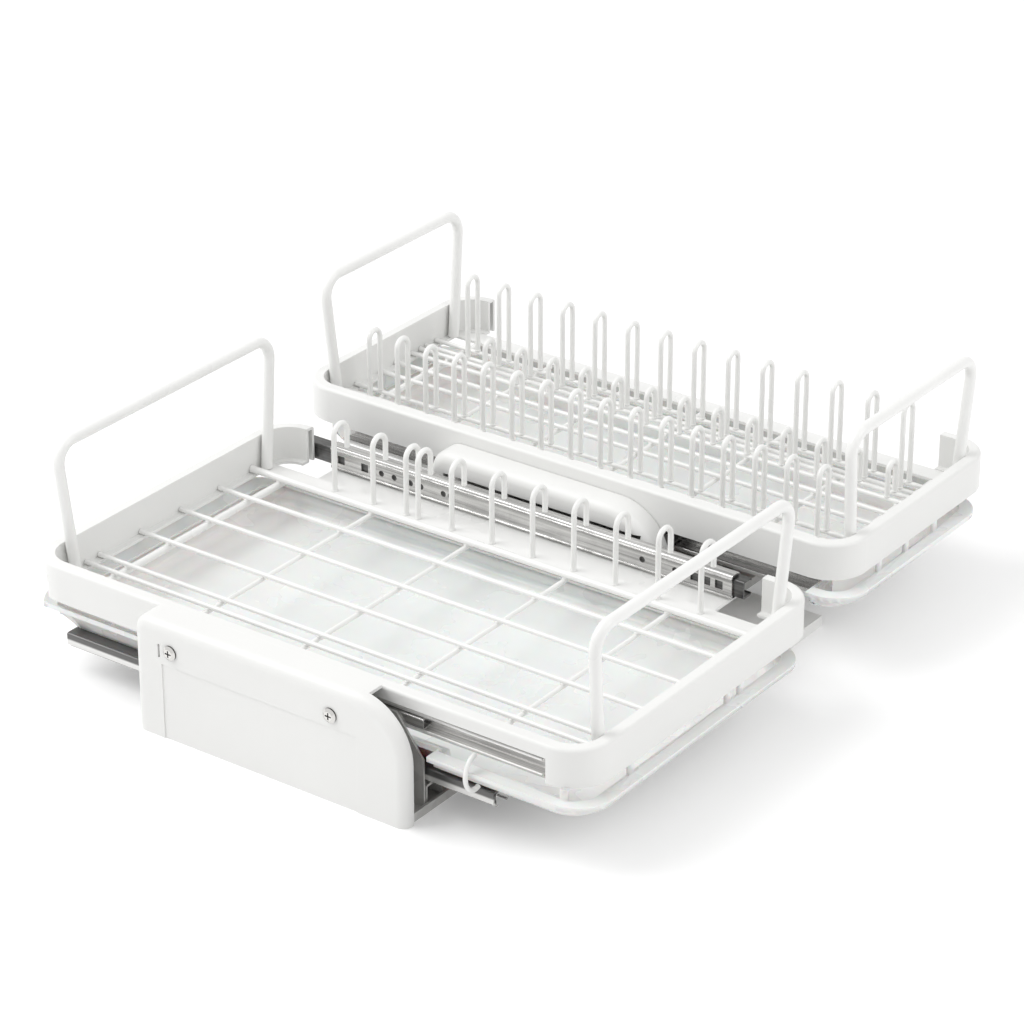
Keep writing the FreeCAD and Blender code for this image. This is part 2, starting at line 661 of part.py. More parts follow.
def save_base():
    save("base_channel", base_channel())
    save("centre_plate", centre_plate())
    save("front_bracket_core", front_core())
    save("middle_bracket_core", middle_core())
    save("rear_bracket_core", rear_core())
    save("front_bracket_cover", front_cover())
    save("middle_bracket_cover", middle_cover())
    save("rear_bracket_cover", rear_cover())
    screws = [pan_screw(x, front_cover_y0, z, -1) for x, z in front_screws]
    screws += [pan_screw(x, rear_cover_y1, z, 1) for x, z in rear_screws]
    save("cover_screws", Part.makeCompound(screws))
    save("front_low_riser", riser(front_low_y, front_low_z - slide_w, -low_slide_half, low_slide_half))
    save("rear_low_riser", riser(rear_low_y, rear_low_z - slide_w, mid_x0 + 5, mid_x1 - 5))


def save_slides():
    short = (-low_slide_half, low_slide_half)
    middle = (mid_x0 + 5, mid_x1 - 5)
    fz, rz = front_slide_z, rear_slide_z
    rail = save_slide("front_tray_front", front_rail, front_rail, short, front_web, -1, fz)
    save("front_tray_front_rail", rail)
    rail = save_slide("front_tray_rear", front_rear_rail, front_rear_middle, middle, front_rear_web, 1, fz)
    # the web that shows at the tray's open side has square latch holes and round rivet holes
    w = latch_hole / 2
    latches = [box(x - w, x + w, front_rear_web - w, front_rear_web + w, fz - w, fz + w)
               for x in along(front_rear_rail, latch_places)]
    rivets = [(x, fz) for x in along(front_rear_rail, rivet_places)]
    save("front_tray_rear_rail", cut_all(rail, latches + holes_along_y(rivets, front_rear_web, rivet_r)))
    web = mid_rear + slide_w
    rail = save_slide("rear_tray_front", rear_rail, rear_rail, middle, web, -1, rz)
    save("rear_tray_front_rail", rail)
    web = rear_slide_back - slide_w
    rail = save_slide("rear_tray_rear", rear_rail, rear_rail, middle, web, 1, rz)
    save("rear_tray_rear_rail", rail)
    save("front_low_top_rail", save_slide("front_low", low_rail, low_rail, short, front_low_y, 1, front_low_z, True))
    save("rear_low_top_rail", save_slide("rear_low", low_rail, low_rail, middle, rear_low_y, 1, rear_low_z, True))


def save_front_tray():
    ledge = front_band_z + ledge_t
    gap = rim_w + wire_play
    save("front_tray_band", front_band())
    save_mat("front_tray", front_bars, front_wires, (front_x0 + gap, front_x1 - gap),
             (front_web + skin + wire_play, strip_y - wire_play), ledge)
    save("front_tray_edge_strip", front_strip())
    save("front_tray_hooks", front_hooks())
    legs = (front_y0 + front_leg_in, front_y1 - front_leg_in)
    foot = gap + handle_r + 0.5
    top = front_rim + handle_rise
    save("front_tray_left_handle", handle(front_x0 + foot, -handle_lean_x, legs[0], legs[1], ledge, top))
    save("front_tray_right_handle", handle(front_x1 - foot, handle_lean_x, legs[0], legs[1], ledge, top))
    save("front_drip_tray", front_drip())


def save_rear_tray():
    ledge = rear_band_z + ledge_t
    gap = rim_w + wire_play
    wire_top = ledge + 2 * wire_r
    save("rear_tray_band", band(rear_x0, rear_x1, rear_y0, rear_y1, rear_rim))
    save_mat("rear_tray", rear_bars, rear_wires, (rear_x0 + gap, rear_x1 - gap),
             (mid_rear + slide_w + hanger_t + wire_play, rear_slide_back - slide_w - hanger_t - wire_play), ledge)
    save("rear_tray_edge_strip", rear_strip())
    tall = prong_row(plate_x0, plate_pitch, plate_count, tall_y, wire_top, tall_top, tall_span, wire_top)
    save("rear_tray_tall_prongs", Part.makeCompound(tall))
    short = prong_row(plate_x0 + plate_pitch, plate_pitch, plate_count - 1, short_y, wire_top, short_top, short_span,
                      wire_top)
    save("rear_tray_short_prongs", Part.makeCompound(short))
    low = prong_row(low_x0, low_pitch, low_count, low_y, wire_top, low_top, low_span, wire_top)
    save("rear_tray_front_prongs", Part.makeCompound(low))
    legs = (rear_y0 + rear_leg_in, rear_y1 - rear_leg_in)
    foot = gap + handle_r + 0.5
    top = rear_rim + handle_rise
    save("rear_tray_left_handle", handle(rear_x0 + foot, -handle_lean_x, legs[0], legs[1], ledge, top))
    save("rear_tray_right_handle", handle(rear_x1 - foot, handle_lean_x, legs[0], legs[1], ledge, top))
    save("rear_tray_front_hanger", hanger(rear_rail, mid_rear + slide_w, 1, rear_y0 + skin, rear_band_z))
    save("rear_tray_rear_hanger", hanger(rear_rail, rear_slide_back - slide_w, -1, rear_slide_back - 1, rear_band_z))
    save("rear_drip_tray", rear_drip())


save_base()
save_slides()
save_front_tray()
save_rear_tray()
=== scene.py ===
import json
import math

import bmesh
import bpy
from bpy.props import FloatProperty, FloatVectorProperty, PointerProperty
from mathutils import Matrix, Vector


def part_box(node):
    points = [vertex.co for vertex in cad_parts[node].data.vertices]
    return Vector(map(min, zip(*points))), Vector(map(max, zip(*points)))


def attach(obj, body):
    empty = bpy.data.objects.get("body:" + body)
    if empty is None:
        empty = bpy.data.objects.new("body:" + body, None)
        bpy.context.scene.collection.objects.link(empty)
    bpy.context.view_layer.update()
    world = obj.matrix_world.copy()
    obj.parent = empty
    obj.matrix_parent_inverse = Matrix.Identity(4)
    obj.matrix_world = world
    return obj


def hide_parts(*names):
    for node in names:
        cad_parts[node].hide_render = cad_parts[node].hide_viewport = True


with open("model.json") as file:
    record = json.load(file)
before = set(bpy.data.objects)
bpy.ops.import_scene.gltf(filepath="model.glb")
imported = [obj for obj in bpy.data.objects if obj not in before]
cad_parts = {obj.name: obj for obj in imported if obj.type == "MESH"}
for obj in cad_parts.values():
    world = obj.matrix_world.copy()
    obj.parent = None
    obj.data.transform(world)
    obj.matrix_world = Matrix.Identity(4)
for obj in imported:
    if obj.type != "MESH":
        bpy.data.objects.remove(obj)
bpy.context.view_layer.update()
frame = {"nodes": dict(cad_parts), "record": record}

bl_info = {
    "name": "Pull-out dish rack",
    "version": (1, 0, 0),
    "blender": (4, 5, 0),
    "location": "View3D > Sidebar > Dish Rack",
    "description": "Gives a pull-out dish rack its finishes, drip trays and small fittings, and a studio",
    "category": "Object",
}

TRAYS = ("front_tray", "rear_tray")
PRONG_ROWS = {
    "front_tray": ("front_tray_hooks",),
    "rear_tray": ("rear_tray_tall_prongs", "rear_tray_short_prongs", "rear_tray_front_prongs"),
}
SLOTS = {part["node"]: part["material_slot"] for part in frame["record"]["subparts"]}
# Slide members whose zinc is painted in another tone than the other slides: painted shade on the member seen
# through the latch holes and on the upper half of the lower slide, painted light on the members in the front
# window.
STEEL_FINISHES = {
    "front_tray_rear_mid_rail": "oiled_steel",
    "front_low_top_rail": "lower_slide_steel",
    "front_tray_front_rail": "bright_steel",
    "front_tray_front_mid_rail": "bright_steel",
}
ROLLING_LINES = 420.0       # scale of the rolling lines on the slides
FLAT_ANGLE = math.radians(35)       # faces of a moulded or folded piece that meet flatter are shaded as one
ROUND_ANGLE = math.radians(50)      # the same for wire and beads
MERGE = 1e-6                # vertices nearer than this are one


class RackFinishes(bpy.types.PropertyGroup):
    """Colours and gloss of what the rack is made of, with painted shade and painted light on some slide
    members.
    """

    moulding: FloatVectorProperty(
        name="Moulding", description="Colour of the moulded bands and covers",
        subtype="COLOR", size=3, min=0, max=1, default=(0.85, 0.85, 0.835))
    moulding_roughness: FloatProperty(
        name="Moulding roughness", description="How matt the mouldings are",
        subtype="FACTOR", min=0, max=1, default=0.36)
    drip: FloatVectorProperty(
        name="Drip trays", description="Colour of the translucent drip trays",
        subtype="COLOR", size=3, min=0, max=1, default=(0.92, 0.92, 0.908))
    coating: FloatVectorProperty(
        name="Wire coating", description="Colour of the powder coat on the wire",
        subtype="COLOR", size=3, min=0, max=1, default=(0.90, 0.90, 0.885))
    coating_roughness: FloatProperty(
        name="Coating roughness", description="How matt the powder coat is",
        subtype="FACTOR", min=0, max=1, default=0.28)
    zinc: FloatVectorProperty(
        name="Zinc", description="Colour of the bright zinc on the slides",
        subtype="COLOR", size=3, min=0, max=1, default=(0.60, 0.595, 0.585))
    # Painted shade: this darker tone stands in for the shade seen inside the latch holes.
    hole_shade: FloatProperty(
        name="Hole shade member", description="Tone of the member behind the latch holes, beside the other slides",
        subtype="FACTOR", min=0, max=1, default=0.22)
    # Painted light: this lighter tone stands in for light in the front window's pocket, which the lamps
    # hardly reach.
    bright: FloatProperty(
        name="Window light member", description="Tone of the members in the front window, beside the other slides",
        min=1, max=1.6, default=1.5)
    galvanised: FloatVectorProperty(
        name="Galvanised steel", description="Colour of the matt zinc on brackets and base",
        subtype="COLOR", size=3, min=0, max=1, default=(0.60, 0.595, 0.58))
    nickel: FloatVectorProperty(
        name="Screws", description="Colour of the nickel-plated screws",
        subtype="COLOR", size=3, min=0, max=1, default=(0.72, 0.71, 0.69))


class RackFittings(bpy.types.PropertyGroup):
    """Sizes of the small pieces added to the frame."""

    weld: FloatProperty(
        name="Weld", description="Radius of the bead at a wire crossing",
        subtype="DISTANCE", unit="LENGTH", min=0.0005, max=0.003, default=0.0016)
    weld_stretch: FloatVectorProperty(
        name="Weld stretch", description="Shape of a bead, as factors of a ball along X, Y and Z",
        subtype="XYZ", size=3, default=(1.5, 1.5, 0.75))
    weld_rise: FloatProperty(
        name="Weld rise", description="Height of a foot's bead above the foot, as a share of its radius",
        subtype="FACTOR", default=0.2)
    drip_hang: FloatProperty(
        name="Drip tray hang", description="Height of the tabs above a drip tray's rim",
        subtype="DISTANCE", unit="LENGTH", default=0.007)
    drip_corner: FloatProperty(
        name="Drip tray corner", description="Width of the strip along a side that holds its corners",
        subtype="DISTANCE", unit="LENGTH", default=0.0245)
    rim_edge: FloatProperty(
        name="Rim edge", description="Height of the turned-down edge of a drip tray's rim",
        subtype="DISTANCE", unit="LENGTH", default=0.0034)
    rim_step: FloatProperty(
        name="Rim step", description="Height over which the wall steps in below the rim",
        subtype="DISTANCE", unit="LENGTH", default=0.0003)
    rim_overhang: FloatProperty(
        name="Rim overhang", description="How far the rim stands out over the wall",
        subtype="DISTANCE", unit="LENGTH", default=0.007)
    wall_slope: FloatProperty(
        name="Wall slope", description="How far the wall runs in from rim to floor",
        subtype="DISTANCE", unit="LENGTH", default=0.004)
    left_in: FloatProperty(
        name="Left rim in", description="How far the left rim stands in from the CAD solid's",
        subtype="DISTANCE", unit="LENGTH", default=0.0135)
    left_lift: FloatProperty(
        name="Left rim lift", description="How far the outer edge of the left rim is turned up",
        subtype="DISTANCE", unit="LENGTH", default=0.0055)
    bead_r: FloatProperty(
        name="Bead", description="Radius of the rolled beads along the slide behind the front tray",
        subtype="DISTANCE", unit="LENGTH", default=0.0008)
    bead_place: FloatProperty(
        name="Bead place", description="Height of the beads above and below the middle of the web",
        subtype="DISTANCE", unit="LENGTH", default=0.0066)
    plate_corner: FloatProperty(
        name="Plate corner", description="Size of the corner cut off the plate that carries the front slide",
        subtype="DISTANCE", unit="LENGTH", default=0.030)
    plate_slope: FloatProperty(
        name="Plate slope", description="Lean of that cut: 0 is upright, 1 is at 45 degrees",
        default=0.75)
    clip_x: FloatProperty(
        name="Clip place", description="Where the clip round the front drip tray's rim sits",
        subtype="DISTANCE", unit="LENGTH", default=0.1435)
    clip_wire: FloatProperty(
        name="Clip wire", description="Radius of the clip's wire",
        subtype="DISTANCE", unit="LENGTH", default=0.0017)
    clip_in: FloatProperty(
        name="Clip centre", description="How far the clip's centre sits behind the rim's front edge",
        subtype="DISTANCE", unit="LENGTH", default=0.0065)
    clip_turn: FloatProperty(
        name="Clip turn", description="Angle that the clip's wire goes round",
        subtype="ANGLE", unit="ROTATION", default=math.radians(200))
    clip_squeeze: FloatProperty(
        name="Clip squeeze", description="Depth of the clip beside its height",
        subtype="FACTOR", default=0.82)


class RackStage(bpy.types.PropertyGroup):
    """Floor, light and camera."""

    floor: FloatVectorProperty(
        name="Floor", description="Colour of the floor",
        subtype="COLOR", size=3, min=0, max=1, default=(0.93, 0.93, 0.93))
    floor_lift: FloatProperty(
        name="Floor lift", description="How much brighter the floor looks to the camera than it is lit",
        min=0, max=1, default=0.15)
    key: FloatProperty(
        name="Key light", description="Power of the large light above the left side",
        unit="POWER", min=0, max=500, default=29)
    fill: FloatProperty(
        name="Fill light", description="Power of the light on the right",
        unit="POWER", min=0, max=500, default=8)
    sky: FloatProperty(
        name="Sky", description="Strength of the even light from all round",
        min=0, max=2, default=0.71)
    key_place: FloatVectorProperty(
        name="Key place", description="Where the large light hangs",
        subtype="TRANSLATION", unit="LENGTH", size=3, default=(-1.3, -0.9, 1.9))
    key_size: FloatProperty(
        name="Key size", description="Side of the large light",
        subtype="DISTANCE", unit="LENGTH", default=1.6)
    fill_place: FloatVectorProperty(
        name="Fill place", description="Where the light on the right hangs",
        subtype="TRANSLATION", unit="LENGTH", size=3, default=(1.6, 0.5, 1.2))
    fill_size: FloatProperty(
        name="Fill size", description="Side of the light on the right",
        subtype="DISTANCE", unit="LENGTH", default=1.2)
    floor_size: FloatProperty(
        name="Floor size", description="Side of the floor",
        subtype="DISTANCE", unit="LENGTH", default=8)
    camera_place: FloatVectorProperty(
        name="Camera", description="Where the camera stands",
        subtype="TRANSLATION", unit="LENGTH", size=3, default=(1.2831, -1.7712, 1.1799))
    camera_turn: FloatProperty(
        name="Turn", description="How far to the right of the front the camera stands",
        subtype="ANGLE", unit="ROTATION", default=0.60921)
    camera_drop: FloatProperty(
        name="Drop", description="How far down the camera looks",
        subtype="ANGLE", unit="ROTATION", default=0.46976)
    camera_roll: FloatProperty(
        name="Roll", description="Tilt of the picture",
        subtype="ANGLE", unit="ROTATION", default=0.00909)
    lens: FloatProperty(
        name="Lens", description="Focal length on a 36 mm wide frame",
        unit="CAMERA", min=10, max=300, default=130.15)
    shift_x: FloatProperty(
        name="Shift across", description="Sideways shift of the lens", default=-0.0670)
    shift_y: FloatProperty(
        name="Shift up", description="Upward shift of the lens", default=0.0080)


# Node trees


def link(tree, pairs):
    """Join sockets, given as (from, to)."""
    for a, b in pairs:
        tree.links.new(a, b)


def add(tree, kind, place, **settings):
    """A node of one kind, with its settings and with its input defaults given by socket name."""
    node = tree.nodes.new(kind)
    node.location = place
    for key, value in settings.items():
        if key == "values":
            for socket, number in value.items():
                node.inputs[socket].default_value = number
        else:
            setattr(node, key, value)
    return node


def new_group(name, inputs, outputs):
    """An empty shader node group with float inputs and outputs, and its two end nodes."""
    tree = bpy.data.node_groups.new(name, "ShaderNodeTree")
    for label, default in inputs:
        socket = tree.interface.new_socket(label, in_out="INPUT", socket_type="NodeSocketFloat")
        socket.default_value = default
    for label in outputs:
        tree.interface.new_socket(label, in_out="OUTPUT", socket_type="NodeSocketFloat")
    return tree, add(tree, "NodeGroupInput", (-900, 0)), add(tree, "NodeGroupOutput", (700, 0))


def edge_mask_group():
    """Mask of the strip along the edges where handling polishes or thins a finish."""
    tree, enter, leave = new_group("Edge mask", [("Width", 0.001), ("Breakup", 60.0)], ["Mask"])
    bevel = add(tree, "ShaderNodeBevel", (-600, 100), samples=4)
    geometry = add(tree, "ShaderNodeNewGeometry", (-600, -100))
    dot = add(tree, "ShaderNodeVectorMath", (-400, 0), operation="DOT_PRODUCT")
    edge = add(tree, "ShaderNodeMapRange", (-200, 0), values={"From Min": 0.995, "From Max": 0.80})
    coordinates = add(tree, "ShaderNodeTexCoord", (-600, -350))
    noise = add(tree, "ShaderNodeTexNoise", (-400, -300), values={"Detail": 4.0})
    patches = add(tree, "ShaderNodeMapRange", (-200, -300), values={"From Min": 0.35, "From Max": 0.7})
    product = add(tree, "ShaderNodeMath", (100, 0), operation="MULTIPLY")
    link(tree, [
        (enter.outputs["Width"], bevel.inputs["Radius"]),
        (bevel.outputs["Normal"], dot.inputs[0]),
        (geometry.outputs["Normal"], dot.inputs[1]),
        (dot.outputs["Value"], edge.inputs["Value"]),
        (coordinates.outputs["Object"], noise.inputs["Vector"]),
        (enter.outputs["Breakup"], noise.inputs["Scale"]),
        (noise.outputs["Fac"], patches.inputs["Value"]),
        (edge.outputs["Result"], product.inputs[0]),
        (patches.outputs["Result"], product.inputs[1]),
        (product.outputs["Value"], leave.inputs["Mask"]),
    ])
    return tree


def surface_group():
    """Slow drift of tone and a fine grain, the two things no real surface is without."""
    tree, enter, leave = new_group(
        "Surface drift", [("Drift scale", 8.0), ("Grain scale", 900.0)], ["Drift", "Grain"])
    coordinates = add(tree, "ShaderNodeTexCoord", (-700, 0))
    drift = add(tree, "ShaderNodeTexNoise", (-400, 150), values={"Detail": 3.0, "Roughness": 0.6})
    grain = add(tree, "ShaderNodeTexNoise", (-400, -150), values={"Detail": 2.0, "Roughness": 0.5})
    link(tree, [
        (coordinates.outputs["Object"], drift.inputs["Vector"]),
        (coordinates.outputs["Object"], grain.inputs["Vector"]),
        (enter.outputs["Drift scale"], drift.inputs["Scale"]),
        (enter.outputs["Grain scale"], grain.inputs["Scale"]),
        (drift.outputs["Fac"], leave.inputs["Drift"]),
        (grain.outputs["Fac"], leave.inputs["Grain"]),
    ])
    return tree


def rolled_steel_group():
    """Rolling lines along X and the faint crystals of a zinc coat."""
    tree, enter, leave = new_group(
        "Rolled steel", [("Line scale", 1400.0), ("Crystal scale", 180.0)], ["Lines", "Crystals"])
    coordinates = add(tree, "ShaderNodeTexCoord", (-900, 200))
    stretch = add(tree, "ShaderNodeMapping", (-700, 200), values={"Scale": (0.02, 1.0, 1.0)})
    lines = add(tree, "ShaderNodeTexNoise", (-400, 200), values={"Detail": 3.0, "Roughness": 0.6})
    crystals = add(tree, "ShaderNodeTexVoronoi", (-400, -150), feature="F1")
    tone = add(tree, "ShaderNodeSeparateColor", (-150, -150))
    link(tree, [
        (coordinates.outputs["Object"], stretch.inputs["Vector"]),
        (stretch.outputs["Vector"], lines.inputs["Vector"]),
        (enter.outputs["Line scale"], lines.inputs["Scale"]),
        (coordinates.outputs["Object"], crystals.inputs["Vector"]),
        (enter.outputs["Crystal scale"], crystals.inputs["Scale"]),
        (crystals.outputs["Color"], tone.inputs["Color"]),
        (lines.outputs["Fac"], leave.inputs["Lines"]),
        (tone.outputs["Red"], leave.inputs["Crystals"]),
    ])
    return tree


def placed(tree, group, place, values):
    """One use of a node group, with its own values."""
    node = add(tree, "ShaderNodeGroup", place, node_tree=group)
    for label, number in values.items():
        node.inputs[label].default_value = number
    return node


def shaded(colour, factor):
    """The colour times a factor, with full opacity."""
    return tuple(c * factor for c in colour) + (1.0,)


def new_material(name, **values):
    """A material with one Principled shader; the values are set on the shader's own sockets."""
    material = bpy.data.materials.new(name)
    material.use_nodes = True
    tree = material.node_tree
    shader = tree.nodes["Principled BSDF"]
    for label, number in values.items():
        shader.inputs[label.replace("_", " ")].default_value = number
    return material, tree, shader


def two_tone(tree, place, dark, light):
    """A mix between two tones; its factor is left to be linked."""
    node = add(tree, "ShaderNodeMix", place, data_type="RGBA")
    node.inputs["A"].default_value = dark
    node.inputs["B"].default_value = light
    return node


def spread(tree, place, low, high):
    """Maps 0..1 onto a narrower range."""
    return add(tree, "ShaderNodeMapRange", place, values={"To Min": low, "To Max": high})


def relief(tree, place, distance, strength):
    """A bump node; its height is left to be linked."""
    return add(tree, "ShaderNodeBump", place, values={"Distance": distance, "Strength": strength})


def moulding_material(name, colour, roughness, groups):
    """Injection-moulded plastic: fine spark grain, slow drift of tone, edges rubbed a little glossier."""
    material, tree, shader = new_material(name, IOR=1.47, Specular_IOR_Level=0.45)
    surface = placed(tree, groups["surface"], (-900, 0), {"Drift scale": 7.0, "Grain scale": 1500.0})
    edge = placed(tree, groups["edge"], (-900, -300), {"Width": 0.0012, "Breakup": 45.0})
    tone = two_tone(tree, (-500, 250), shaded(colour, 0.94), shaded(colour, 1.03))
    worn = two_tone(tree, (-250, 250), shaded(colour, 1.0), shaded(colour, 1.06))
    rough = spread(tree, (-600, -50), roughness * 0.85, roughness * 1.2)
    rubbed = add(tree, "ShaderNodeMath", (-350, -50), operation="SUBTRACT")
    share = add(tree, "ShaderNodeMath", (-600, -300), operation="MULTIPLY", values={1: 0.08})
    bump = relief(tree, (-250, -450), 0.00004, 0.35)
    link(tree, [
        (surface.outputs["Drift"], tone.inputs["Factor"]),
        (tone.outputs["Result"], worn.inputs["A"]),
        (edge.outputs["Mask"], worn.inputs["Factor"]),
        (worn.outputs["Result"], shader.inputs["Base Color"]),
        (surface.outputs["Drift"], rough.inputs["Value"]),
        (edge.outputs["Mask"], share.inputs[0]),
        (rough.outputs["Result"], rubbed.inputs[0]),
        (share.outputs["Value"], rubbed.inputs[1]),
        (rubbed.outputs["Value"], shader.inputs["Roughness"]),
        (surface.outputs["Grain"], bump.inputs["Height"]),
        (bump.outputs["Normal"], shader.inputs["Normal"]),
    ])
    return material


def drip_material(name, colour, groups):
    """Thin natural polypropylene: lets some light through, with a smooth waxy face."""
    material, tree, shader = new_material(
        name, IOR=1.49, Transmission_Weight=0.05, Subsurface_Weight=0.25, Subsurface_Scale=0.004)
    surface = placed(tree, groups["surface"], (-900, 0), {"Drift scale": 16.0, "Grain scale": 700.0})
    tone = two_tone(tree, (-500, 200), shaded(colour, 0.90), shaded(colour, 1.08))
    rough = spread(tree, (-500, -50), 0.20, 0.34)
    waves = relief(tree, (-500, -350), 0.0012, 0.3)
    bump = relief(tree, (-250, -350), 0.00006, 0.3)
    link(tree, [
        (surface.outputs["Drift"], tone.inputs["Factor"]),
        (tone.outputs["Result"], shader.inputs["Base Color"]),
        (surface.outputs["Drift"], rough.inputs["Value"]),
        (rough.outputs["Result"], shader.inputs["Roughness"]),
        (surface.outputs["Drift"], waves.inputs["Height"]),
        (waves.outputs["Normal"], bump.inputs["Normal"]),
        (surface.outputs["Grain"], bump.inputs["Height"]),
        (bump.outputs["Normal"], shader.inputs["Normal"]),
    ])
    return material


def coating_material(name, colour, roughness, groups):
    """Powder coat on wire: orange peel under a soft gloss."""
    material, tree, shader = new_material(name, Specular_IOR_Level=0.5, Coat_Roughness=0.18)
    surface = placed(tree, groups["surface"], (-900, 0), {"Drift scale": 14.0, "Grain scale": 420.0})
    tone = two_tone(tree, (-500, 200), shaded(colour, 0.93), shaded(colour, 1.04))
    rough = spread(tree, (-500, -50), roughness * 0.8, roughness * 1.25)
    coat = spread(tree, (-500, -250), 0.15, 0.4)
    bump = relief(tree, (-250, -400), 0.00008, 0.35)
    link(tree, [
        (surface.outputs["Drift"], tone.inputs["Factor"]),
        (tone.outputs["Result"], shader.inputs["Base Color"]),
        (surface.outputs["Drift"], rough.inputs["Value"]),
        (rough.outputs["Result"], shader.inputs["Roughness"]),
        (surface.outputs["Drift"], coat.inputs["Value"]),
        (coat.outputs["Result"], shader.inputs["Coat Weight"]),
        (surface.outputs["Grain"], bump.inputs["Height"]),
        (bump.outputs["Normal"], shader.inputs["Normal"]),
    ])
    return material


def steel_material(name, colour, roughness, metallic, groups):
    """Plated strip steel: rolling lines, faint crystals, brighter along worn edges."""
    material, tree, shader = new_material(name, Metallic=metallic)
    steel = placed(tree, groups["steel"], (-900, 100), {"Line scale": ROLLING_LINES, "Crystal scale": 220.0})
    edge = placed(tree, groups["edge"], (-900, -400), {"Width": 0.0006, "Breakup": 90.0})
    streak = add(tree, "ShaderNodeMapRange", (-750, 300), values={"From Min": 0.35, "From Max": 0.65})
    tone = two_tone(tree, (-600, 300), shaded(colour, 0.62), shaded(colour, 1.2))
    crystal = add(tree, "ShaderNodeMix", (-400, 300), data_type="RGBA", blend_type="SOFT_LIGHT")
    crystal.inputs["Factor"].default_value = 0.08
    worn = two_tone(tree, (-200, 300), shaded(colour, 1.0), shaded(colour, 1.35))
    rough = spread(tree, (-600, -50), roughness * 0.75, roughness * 1.3)
    bump = relief(tree, (-250, -400), 0.00005, 0.3)
    link(tree, [
        (steel.outputs["Lines"], streak.inputs["Value"]),
        (streak.outputs["Result"], tone.inputs["Factor"]),
        (tone.outputs["Result"], crystal.inputs["A"]),
        (steel.outputs["Crystals"], crystal.inputs["B"]),
        (crystal.outputs["Result"], worn.inputs["A"]),
        (edge.outputs["Mask"], worn.inputs["Factor"]),
        (worn.outputs["Result"], shader.inputs["Base Color"]),
        (steel.outputs["Lines"], rough.inputs["Value"]),
        (rough.outputs["Result"], shader.inputs["Roughness"]),
        (steel.outputs["Lines"], bump.inputs["Height"]),
        (bump.outputs["Normal"], shader.inputs["Normal"]),
    ])
    return material


def lower_slide_material(name, colour, height, groups):
    """Plated strip steel, painted light below the given height and painted shade above it, where the drip
    tray shades the slide.
    """
    fade = 0.0008
    material, tree, shader = new_material(name, Metallic=0.7)
    steel = placed(tree, groups["steel"], (-900, 100), {"Line scale": ROLLING_LINES, "Crystal scale": 220.0})
    coordinates = add(tree, "ShaderNodeTexCoord", (-1300, 400))
    axes = add(tree, "ShaderNodeSeparateXYZ", (-1100, 400))
    # Painted shade: above this height the steel is darkened to a quarter of its tone.
    upper_shade = add(tree, "ShaderNodeMapRange", (-900, 400), interpolation_type="SMOOTHSTEP",
                 values={"From Min": height - fade, "From Max": height + fade})
    # Painted light: below the height the steel is made lighter than the other slides.
    lit_tone = two_tone(tree, (-600, 300), shaded(colour, 1.1), shaded(colour, 1.5))
    tone = two_tone(tree, (-300, 300), shaded(colour, 1.0), shaded(colour, 0.25))
    rough = spread(tree, (-600, -50), 0.26, 0.42)
    bump = relief(tree, (-250, -400), 0.00005, 0.3)
    link(tree, [
        (coordinates.outputs["Object"], axes.inputs["Vector"]),
        (axes.outputs["Z"], upper_shade.inputs["Value"]),
        (steel.outputs["Lines"], lit_tone.inputs["Factor"]),
        (lit_tone.outputs["Result"], tone.inputs["A"]),
        (upper_shade.outputs["Result"], tone.inputs["Factor"]),
        (tone.outputs["Result"], shader.inputs["Base Color"]),
        (steel.outputs["Lines"], rough.inputs["Value"]),
        (rough.outputs["Result"], shader.inputs["Roughness"]),
        (steel.outputs["Lines"], bump.inputs["Height"]),
        (bump.outputs["Normal"], shader.inputs["Normal"]),
    ])
    return material


def galvanised_material(name, colour, groups):
    """Hot-dipped sheet: a matt, half diffuse zinc skin with faint crystals."""
    material, tree, shader = new_material(name, Metallic=0.55, Specular_IOR_Level=0.5)
    steel = placed(tree, groups["steel"], (-900, 100), {"Line scale": 300.0, "Crystal scale": 150.0})
    surface = placed(tree, groups["surface"], (-900, -150), {"Drift scale": 12.0, "Grain scale": 500.0})
    edge = placed(tree, groups["edge"], (-900, -400), {"Width": 0.0008, "Breakup": 70.0})
    tone = two_tone(tree, (-600, 300), shaded(colour, 0.93), shaded(colour, 1.05))
    worn = two_tone(tree, (-200, 300), shaded(colour, 1.0), shaded(colour, 1.25))
    rough = spread(tree, (-600, -50), 0.36, 0.52)
    bump = relief(tree, (-250, -400), 0.00006, 0.3)
    link(tree, [
        (steel.outputs["Crystals"], tone.inputs["Factor"]),
        (tone.outputs["Result"], worn.inputs["A"]),
        (edge.outputs["Mask"], worn.inputs["Factor"]),
        (worn.outputs["Result"], shader.inputs["Base Color"]),
        (surface.outputs["Drift"], rough.inputs["Value"]),
        (rough.outputs["Result"], shader.inputs["Roughness"]),
        (surface.outputs["Grain"], bump.inputs["Height"]),
        (bump.outputs["Normal"], shader.inputs["Normal"]),
    ])
    return material


